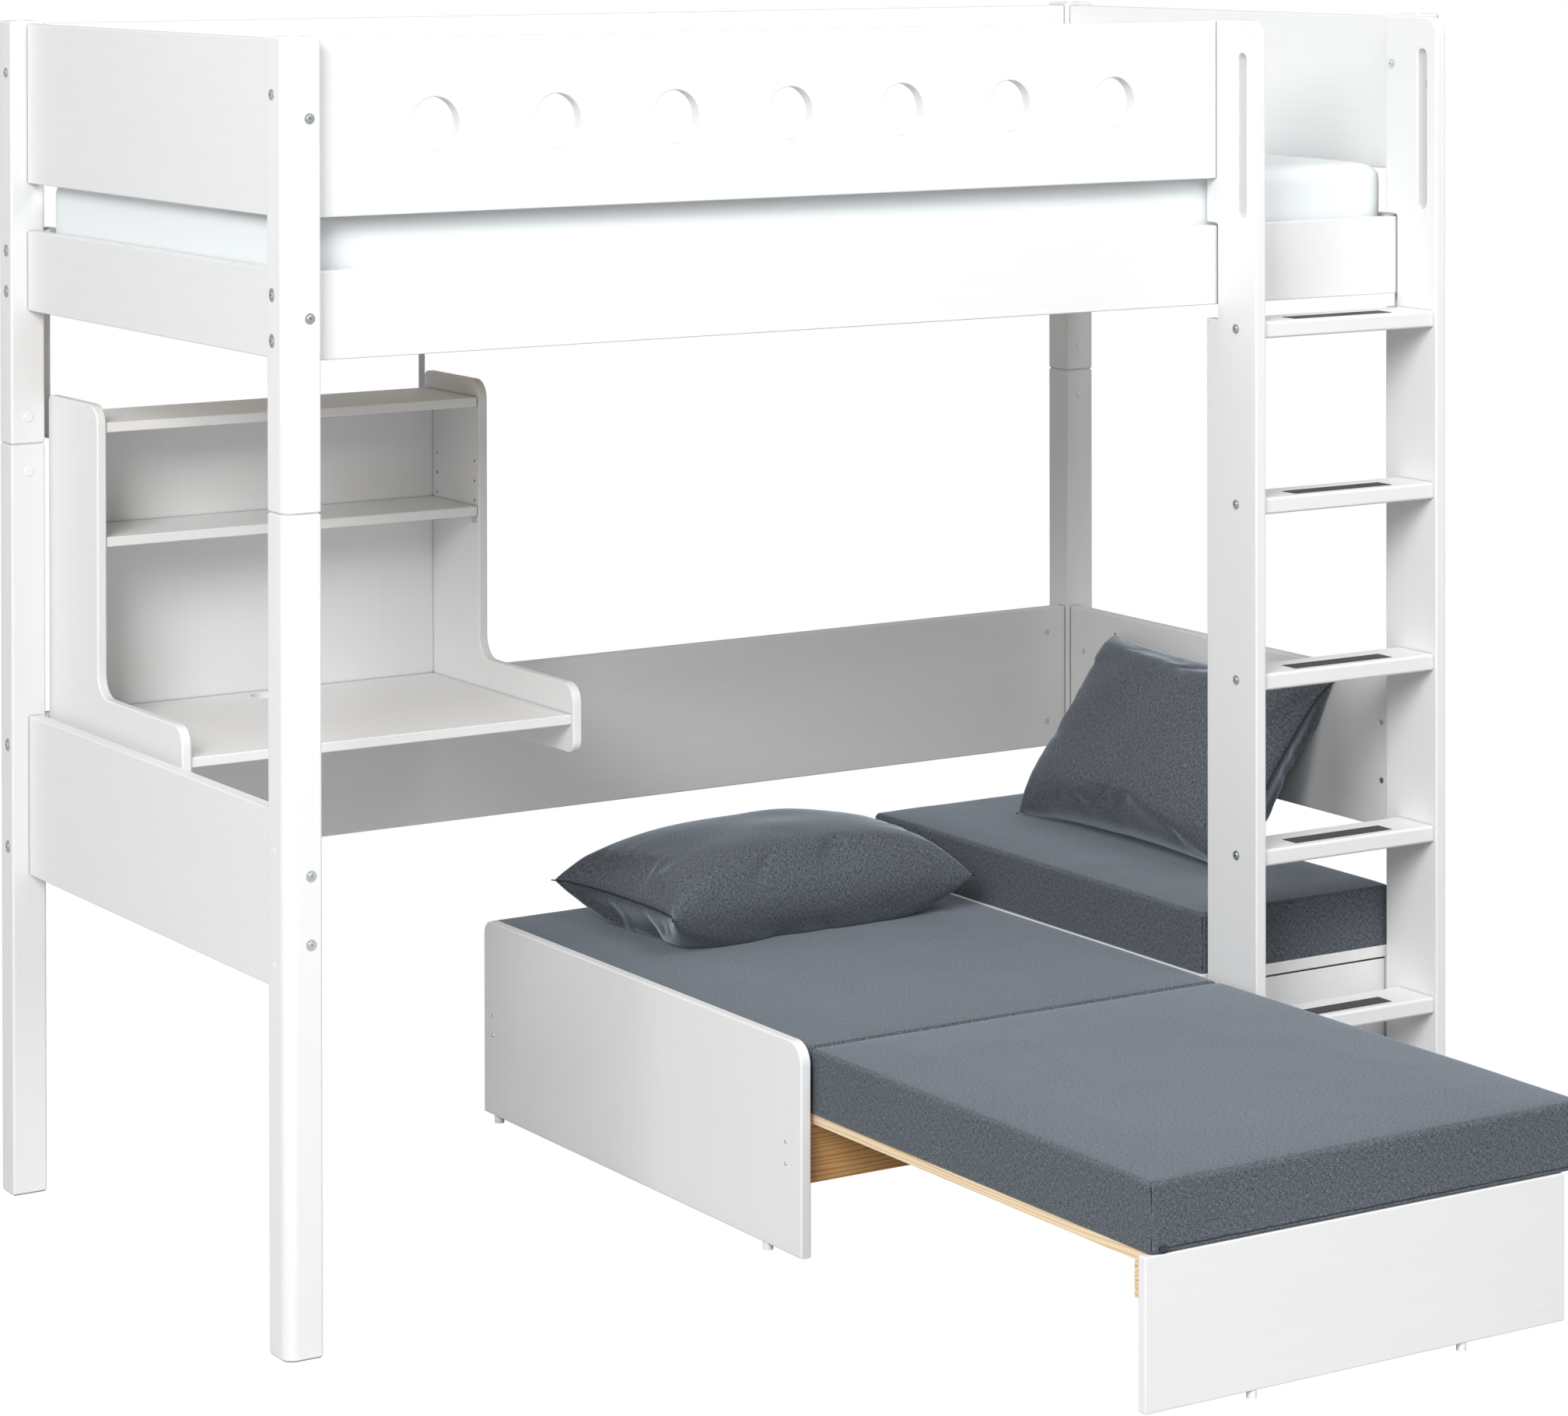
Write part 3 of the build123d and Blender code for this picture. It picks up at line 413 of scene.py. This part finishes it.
def knit(name):
    """Smooth white mattress cover, faintly cool."""
    material, tree, shader = new_material(name, (0.80, 0.83, 0.84), 0.8)
    shader.inputs["Specular IOR Level"].default_value = 0.2
    loops = add(tree, "ShaderNodeTexNoise", {"Vector": object_place(tree), "Scale": 700.0})
    shade = ramp(tree, loops.outputs["Fac"],
                 [(0.3, (0.78, 0.815, 0.825)), (0.7, (0.81, 0.84, 0.85))])
    tree.links.new(shade, shader.inputs["Base Color"])
    bump(tree, shader, loops.outputs["Fac"], 0.12, 0.0004)
    return material


white_knit = knit("white_knit")


def dress(material, *names):
    for name in names:
        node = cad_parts[name]
        node.data.materials.clear()
        node.data.materials.append(material)


posts = ["post_%s_%s_%s" % (depth, side, half) for depth in ("front", "back")
         for side in ("left", "right") for half in ("lower", "upper")]
dress(white_upright, *posts, "ladder_stile_left", "ladder_stile_right", "desk_side_left",
      "desk_side_right", "desk_back", "sofa_armrest")
dress(white_along_x, "guard_front", "guard_back", "rail_front", "rail_back", "panel_back",
      "rung_1", "rung_2", "rung_3", "rung_4", "rung_5", "desk_top", "desk_shelf_top",
      "desk_shelf_middle", "pull_out_front", "bench_front")
dress(white_along_y, "guard_left", "guard_right", "rail_left", "rail_right", "panel_left",
      "panel_right", "bench_seat", "bench_sides")
dress(cap_white, "post_caps")
dress(zinc, "bolts_round", "bolts_oblong", "barrel_nuts", "desk_shelf_supports")
dress(hanger_steel, "desk_hangers")
dress(zip_dark, "zip_slider")
dress(grip_tape, "grip_strips")
dress(glide_white, "sofa_glides", "pull_out_glides")
dress(pine_orange, "sofa_cross_boards")
dress(pine_pale_x, "pull_out_rail", "pull_out_batten", "slat_cleats")
dress(pine_pale, "sofa_slats", "pull_out_slats", "bed_slats")


# Soft piece helpers
def link(data, name, material, body):
    """A new piece that rides on a body of the frame."""
    piece = bpy.data.objects.new(name, data)
    bpy.context.collection.objects.link(piece)
    data.materials.append(material)
    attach(piece, body)
    return piece


def soften(piece):
    for polygon in piece.data.polygons:
        polygon.use_smooth = True
    smooth = piece.modifiers.new("smooth", "SUBSURF")
    smooth.levels = 1
    smooth.render_levels = 1


def thin_lines(name, runs, radius, material, body):
    """Thin round threads, one for each run of points."""
    curve = bpy.data.curves.new(name, "CURVE")
    curve.dimensions = "3D"
    curve.bevel_depth = radius
    curve.bevel_resolution = 1
    for points in runs:
        spline = curve.splines.new("POLY")
        spline.points.add(len(points) - 1)
        for target, place in zip(spline.points, points):
            target.co = (*place, 1.0)
    link(curve, name, material, body)


def steps(half, roll, step):
    """Places along one side of a block: close together in the rolled edges, wider between."""
    flat = half - roll
    rim = [flat + roll * math.sin(number * math.pi / 2 / ROLL_TURNS)
           for number in range(ROLL_TURNS + 1)]
    spans = max(2, round(2 * flat / step))
    middle = [-flat + 2 * flat * number / spans for number in range(1, spans)]
    return [-place for place in reversed(rim)] + middle + rim


def block_grid(xs, ys, zs):
    """The closed skin of a box, as a bmesh with points at the given places."""
    shape = bmesh.new()
    points = {}

    def point(place):
        if place not in points:
            i, j, k = place
            points[place] = shape.verts.new((xs[i], ys[j], zs[k]))
        return points[place]

    def face(*places):
        shape.faces.new([point(place) for place in places])

    nx, ny, nz = len(xs) - 1, len(ys) - 1, len(zs) - 1
    for i in range(nx):
        for j in range(ny):
            face((i, j, nz), (i + 1, j, nz), (i + 1, j + 1, nz), (i, j + 1, nz))
            face((i, j, 0), (i, j + 1, 0), (i + 1, j + 1, 0), (i + 1, j, 0))
        for k in range(nz):
            face((i, 0, k), (i + 1, 0, k), (i + 1, 0, k + 1), (i, 0, k + 1))
            face((i, ny, k), (i, ny, k + 1), (i + 1, ny, k + 1), (i + 1, ny, k))
    for j in range(ny):
        for k in range(nz):
            face((0, j, k), (0, j, k + 1), (0, j + 1, k + 1), (0, j + 1, k))
            face((nx, j, k), (nx, j + 1, k), (nx, j + 1, k + 1), (nx, j, k + 1))
    return shape


def edge_of_outline(x, y, half, corner):
    """How far a point lies inside a rounded outline, and the way out of it."""
    dx, dy = abs(x) - (half.x - corner), abs(y) - (half.y - corner)
    if dx > 0 and dy > 0:
        length = math.hypot(dx, dy)
        outward = (math.copysign(dx / length, x), math.copysign(dy / length, y), 0.0)
        return corner - length, Vector(outward)
    if half.x - abs(x) < half.y - abs(y):
        return half.x - abs(x), Vector((math.copysign(1.0, x), 0.0, 0.0))
    return half.y - abs(y), Vector((0.0, math.copysign(1.0, y), 0.0))


def foam_block(name, node, body, material, roll, crown, uneven, corner, seed):
    """A foam block in a sewn cover, in the space of its CAD solid.

    Its upright corners and its top and bottom edges are rolled, the top is crowned, the sides
    draw in between the edges, and slow noise leaves the cover a little uneven.
    """
    centre = (low(node) + high(node)) / 2
    half = (high(node) - low(node)) / 2
    shape = block_grid(steps(half.x, roll, BLOCK_STEP), steps(half.y, roll, BLOCK_STEP),
                       steps(half.z, roll * 0.7, BLOCK_STEP_UP))
    for vert in shape.verts:
        x, y, z = vert.co
        upward = z > 0
        rim = roll if upward else roll * 0.45
        dx, dy = abs(x) - (half.x - corner), abs(y) - (half.y - corner)
        if dx > 0 and dy > 0:
            length, angle = max(dx, dy), math.atan2(dy, dx)
            x = math.copysign(half.x - corner + math.cos(angle) * length, x)
            y = math.copysign(half.y - corner + math.sin(angle) * length, y)
        inside, outward = edge_of_outline(x, y, half, corner)
        place = Vector((x, y, z))
        inset, dz = rim - inside, abs(z) - (half.z - rim)
        if inset > 0 and dz > 0:
            length, angle = max(inset, dz), math.atan2(dz, inset)
            place -= outward * (inset - math.cos(angle) * length)
            place.z = math.copysign(half.z - rim + math.sin(angle) * length, z)
        slow = noise.noise(Vector((x * 6 + seed, y * 6, z * 8 + seed)))
        quick = noise.noise(Vector((x * 26 + seed, y * 26, z * 26)))
        if upward:
            spread = (min(1.0, (1 - (x / half.x) ** 2) / 0.55)
                      * min(1.0, (1 - (y / half.y) ** 2) / 0.55))
            sunk = (crown * (1 - math.sqrt(max(0.0, spread)))
                    + uneven * (0.35 * abs(slow) + 0.2 * abs(quick)))
            place.z -= sunk * (z / half.z) ** 2
        if inside < rim * 1.2:
            share = max(0.0, 1 - inside / (rim * 1.2))
            waist = max(0.0, 1 - (z / half.z) ** 2)
            drawn = uneven * (0.45 * waist + 0.45 * abs(slow) + 0.25 * abs(quick))
            place -= outward * drawn * share
        vert.co = place + centre
    mesh = bpy.data.meshes.new(name)
    shape.normal_update()
    shape.to_mesh(mesh)
    shape.free()
    piece = link(mesh, name, material, body)
    soften(piece)
    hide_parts(node)


def upright_seams(name, node, body, corners):
    """The cover's seams down the given corners of a block."""
    runs = []
    for sx, sy in corners:
        reach = CUSHION_CORNER * (1 - math.sqrt(0.5)) + SEAM_RADIUS * 0.3
        edge = Vector(((high(node) if sx > 0 else low(node)).x - sx * reach,
                       (high(node) if sy > 0 else low(node)).y - sy * reach, 0.0))
        run = []
        for number in range(SEAM_POINTS):
            share = number / (SEAM_POINTS - 1)
            tall = high(node).z - low(node).z - SEAM_MARGINS
            z = low(node).z + SEAM_MARGIN_LOW + share * tall
            waist = SEAM_WAIST * (1 - (2 * share - 1) ** 2)
            sway = SEAM_SWAY * noise.noise(Vector((sx * 3.0, sy * 3.0, z * 40)))
            run.append(edge + Vector((-sx * waist + sway, -sy * waist - sway, z)))
        runs.append(run)
    thin_lines(name, runs, SEAM_RADIUS, seam_dark, body)


# Mattresses and bench cushion
for block, solid, carrier, order in (("seat_mattress", "mattress_seat", "bed", 1.0),
                                     ("fold_mattress_cover", "mattress_fold", "fold_mattress", 2.0),
                                     ("bench_pad", "bench_cushion", "bed", 3.0)):
    foam_block(block, solid, carrier, slate, TOP_ROLL, TOP_CROWN, COVER_UNEVEN,
               CUSHION_CORNER, order)
foam_block("upper_mattress_cover", "mattress_upper", "bed", white_knit, UPPER_ROLL,
           UPPER_CROWN, UPPER_UNEVEN, UPPER_CORNER, 4.0)
upright_seams("fold_mattress_seams", "mattress_fold", "fold_mattress", [(-1, -1), (1, -1)])
upright_seams("seat_mattress_seams", "mattress_seat", "bed", [(-1, 1), (1, 1)])
upright_seams("bench_pad_seams", "bench_cushion", "bed", [(-1, -1), (1, -1), (-1, 1), (1, 1)])


def fold_stitches():
    """Small stitches along the edge of the seat mattress where the cover folds."""
    start, end = low("mattress_seat"), high("mattress_seat")
    runs = []
    for number in range(int((end.x - start.x - 2 * STITCH_MARGIN) / STITCH_PITCH)):
        place = Vector((start.x + STITCH_MARGIN + number * STITCH_PITCH,
                        start.y + STITCH_INSET, end.z - STITCH_DEPTH))
        runs.append([place, place + Vector((STITCH_LENGTH, 0.0, 0.0))])
    thin_lines("fold_stitches", runs, STITCH_RADIUS, seam_dark, "bed")


def zip_band():
    """The closed zip along the lower front edge of the folding mattress."""
    start, end = low("mattress_fold"), high("mattress_fold")
    run = []
    length = end.x - start.x - 2 * ZIP_MARGIN
    for number in range(ZIP_POINTS):
        x = start.x + ZIP_MARGIN + length * number / (ZIP_POINTS - 1)
        run.append(Vector((x, start.y + ZIP_INSET,
                           start.z + ZIP_HEIGHT + ZIP_SWAY * math.sin(x * 90))))
    thin_lines("zip_band", [run], ZIP_RADIUS, seam_dark, "fold_mattress")


fold_stitches()
zip_band()


# Pillows
def pillow_mesh(name, plump, seed):
    """A sewn case before filling, and the points along its two short seams."""
    nx, ny = PILLOW_POINTS
    shape = bmesh.new()
    grid = {}
    for face in (1, -1):
        for i in range(nx + 1):
            for j in range(ny + 1):
                if face < 0 and (i in (0, nx) or j in (0, ny)):
                    grid[face, i, j] = grid[1, i, j]
                    continue
                u, v = 2 * i / nx - 1, 2 * j / ny - 1
                u = math.copysign(abs(u) ** 0.92, u)
                v = math.copysign(abs(v) ** 0.92, v)
                x = u * PILLOW_LONG / 2 * (1 - 0.045 * (1 - v * v) * abs(u) ** 3)
                y = v * PILLOW_WIDE / 2 * (1 - 0.070 * (1 - u * u) * abs(v) ** 3)
                folded = 0.46 if v < 0 else 0.62
                fill = (1 - abs(u) ** 2.6) ** 0.62 * (1 - abs(v) ** 2.6) ** folded
                slow = noise.noise(Vector((u * 2.2 + seed, v * 2.0, face * 2.0 + seed)))
                pleat = noise.noise(Vector((u * 3.0 + seed, v * 11.0, face * 3.0)))
                near_end = abs(u) ** 5 * min(1.0, 6 * (1 - abs(u)))
                z = face * (plump * fill * (1 + 0.07 * slow) + 0.009 * pleat * near_end)
                grid[face, i, j] = shape.verts.new((x, y, z))
    for i in range(nx):
        for j in range(ny):
            around = ((i, j), (i + 1, j), (i + 1, j + 1), (i, j + 1))
            back = ((i, j), (i, j + 1), (i + 1, j + 1), (i + 1, j))
            shape.faces.new([grid[1, a, b] for a, b in around])
            shape.faces.new([grid[-1, a, b] for a, b in back])
    shape.normal_update()
    shape.verts.index_update()
    seams = [[grid[1, i, j].index for j in range(ny + 1)] for i in (0, nx)]
    mesh = bpy.data.meshes.new(name)
    shape.to_mesh(mesh)
    shape.free()
    return mesh, seams


def fill_out(piece, pressure, frames, cap):
    """Blow the case up as cloth with no gravity, and keep what each point moved, up to a cap."""
    start = [vert.co.copy() for vert in piece.data.vertices]
    cloth = piece.modifiers.new("cloth", "CLOTH")
    settings = cloth.settings
    settings.quality = 6
    settings.mass = 0.25
    settings.tension_stiffness = 25.0
    settings.compression_stiffness = 25.0
    settings.shear_stiffness = 8.0
    settings.bending_stiffness = 0.5
    settings.use_pressure = True
    settings.uniform_pressure_force = pressure
    settings.effector_weights.gravity = 0.0
    cloth.point_cache.frame_start = 1
    cloth.point_cache.frame_end = frames
    scene = bpy.context.scene
    for number in range(1, frames + 1):
        scene.frame_set(number)
    evaluated = piece.evaluated_get(bpy.context.evaluated_depsgraph_get())
    moved = [vert.co.copy() for vert in evaluated.to_mesh().vertices]
    evaluated.to_mesh_clear()
    piece.modifiers.remove(cloth)
    for vert, before, after in zip(piece.data.vertices, start, moved):
        shift = after - before
        vert.co = before + shift * min(1.0, cap / max(shift.length, cap))
    scene.frame_set(1)


def make_pillow(name, node, body, plump, seed, matrix, rest_z, wall_x=None):
    """A filled pillow, pressed flat where it lies on the seat or leans on the wall."""
    mesh, seams = pillow_mesh(name, plump, seed)
    piece = link(mesh, name, slate, body)
    fill_out(piece, PILLOW_PRESSURE, PILLOW_FRAMES, PILLOW_SWELL)
    mesh.transform(matrix)
    for vert in mesh.vertices:
        vert.co.z = max(vert.co.z, rest_z)
        if wall_x is not None:
            vert.co.x = min(vert.co.x, wall_x)
    soften(piece)
    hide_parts(node)
    runs = [[mesh.vertices[index].co.copy() for index in seam] for seam in seams]
    thin_lines(name + "_seams", runs, SEAM_RADIUS, seam_dark, body)


lying_middle = (low("pillow_lying") + high("pillow_lying")) / 2
lying_place = (lying_middle.x, lying_middle.y, low("pillow_lying").z + LYING_LIFT)
lying_matrix = Matrix.Translation(lying_place) @ Matrix.Rotation(LYING_TURN, 4, "Z")
make_pillow("lying_pillow_case", "pillow_lying", "lying_pillow", LYING_PLUMP, 5.0, lying_matrix,
            low("pillow_lying").z)

lean_turn = Matrix(((0, math.cos(LEANING_TURN), -math.sin(LEANING_TURN)),
                    (-1, 0, 0),
                    (0, math.sin(LEANING_TURN), math.cos(LEANING_TURN)))).to_4x4()
lean_matrix = Matrix.Translation((low("pillow_leaning") + high("pillow_leaning")) / 2) @ lean_turn
make_pillow("leaning_pillow_case", "pillow_leaning", "bed", LEANING_PLUMP, 9.0, lean_matrix,
            high("bench_cushion").z - PRESSED_IN, low("panel_right").x - PRESSED_IN)


def stile_screw():
    """The small screw low on the right stile's inner face."""
    shape = bmesh.new()
    bmesh.ops.create_cone(shape, cap_ends=True, segments=20, radius1=SCREW_RADIUS,
                          radius2=SCREW_TOP_RADIUS, depth=SCREW_HEIGHT,
                          matrix=Matrix.Rotation(-math.pi / 2, 4, "Y"))
    heads = [face for face in shape.faces if len(face.verts) > 4]
    bmesh.ops.inset_individual(shape, faces=heads, thickness=SCREW_HEIGHT, depth=-SCREW_SUNK)
    mesh = bpy.data.meshes.new("stile_screw")
    shape.to_mesh(mesh)
    shape.free()
    place = (low("ladder_stile_right").x - SCREW_STANDS_OUT,
             low("post_front_left_lower").y + SCREW_BEHIND_POST, SCREW_UP)
    mesh.transform(Matrix.Translation(place))
    link(mesh, "stile_screw", zinc, "bed")


stile_screw()


# Stage and light
def camera_sees(tree, output, other, seen):
    """One shader for the camera and another for everything else."""
    path = add(tree, "ShaderNodeLightPath")
    mix = add(tree, "ShaderNodeMixShader", {0: path.outputs["Is Camera Ray"], 1: other, 2: seen})
    tree.links.new(mix.outputs["Shader"], output.inputs["Surface"])


def make_stage():
    """A pale floor and surroundings that show plain white to the camera."""
    mesh = bpy.data.meshes.new("floor")
    reach = FLOOR_REACH
    corners = [(-reach, -reach, 0), (reach, -reach, 0), (reach, reach, 0), (-reach, reach, 0)]
    mesh.from_pydata(corners, [], [(0, 1, 2, 3)])
    floor = bpy.data.objects.new("floor", mesh)
    bpy.context.collection.objects.link(floor)
    floor.location.z = -FLOOR_DROP
    material = bpy.data.materials.new("floor")
    material.use_nodes = True
    tree = material.node_tree
    tree.nodes.clear()
    output = add(tree, "ShaderNodeOutputMaterial")
    diffuse = add(tree, "ShaderNodeBsdfDiffuse", {"Color": FLOOR_GREY})
    glow = add(tree, "ShaderNodeEmission", {"Color": PLAIN_WHITE})
    camera_sees(tree, output, diffuse.outputs["BSDF"], glow.outputs["Emission"])
    mesh.materials.append(material)

    world = bpy.data.worlds.new("studio")
    bpy.context.scene.world = world
    world.use_nodes = True
    tree = world.node_tree
    background = tree.nodes["Background"]
    background.inputs["Color"].default_value = SKY_COLOR
    background.inputs["Strength"].default_value = SKY_STRENGTH
    bright = add(tree, "ShaderNodeBackground", {"Color": PLAIN_WHITE})
    camera_sees(tree, tree.nodes["World Output"], background.outputs["Background"],
                bright.outputs["Background"])


def area_light(name, place, target, size, power):
    data = bpy.data.lights.new(name, "AREA")
    data.shape = "RECTANGLE"
    data.size, data.size_y = size
    data.energy = power
    light = bpy.data.objects.new(name, data)
    bpy.context.collection.objects.link(light)
    light.location = place
    aim = Vector(target) - Vector(place)
    light.rotation_euler = aim.to_track_quat("-Z", "Y").to_euler()


make_stage()
area_light("key", KEY_PLACE, KEY_TARGET, KEY_SIZE, KEY_WATTS)
area_light("overhead", OVERHEAD_PLACE, OVERHEAD_TARGET, OVERHEAD_SIZE, OVERHEAD_WATTS)

view = bpy.context.scene.view_settings
view.view_transform = "Standard"
view.look = "None"
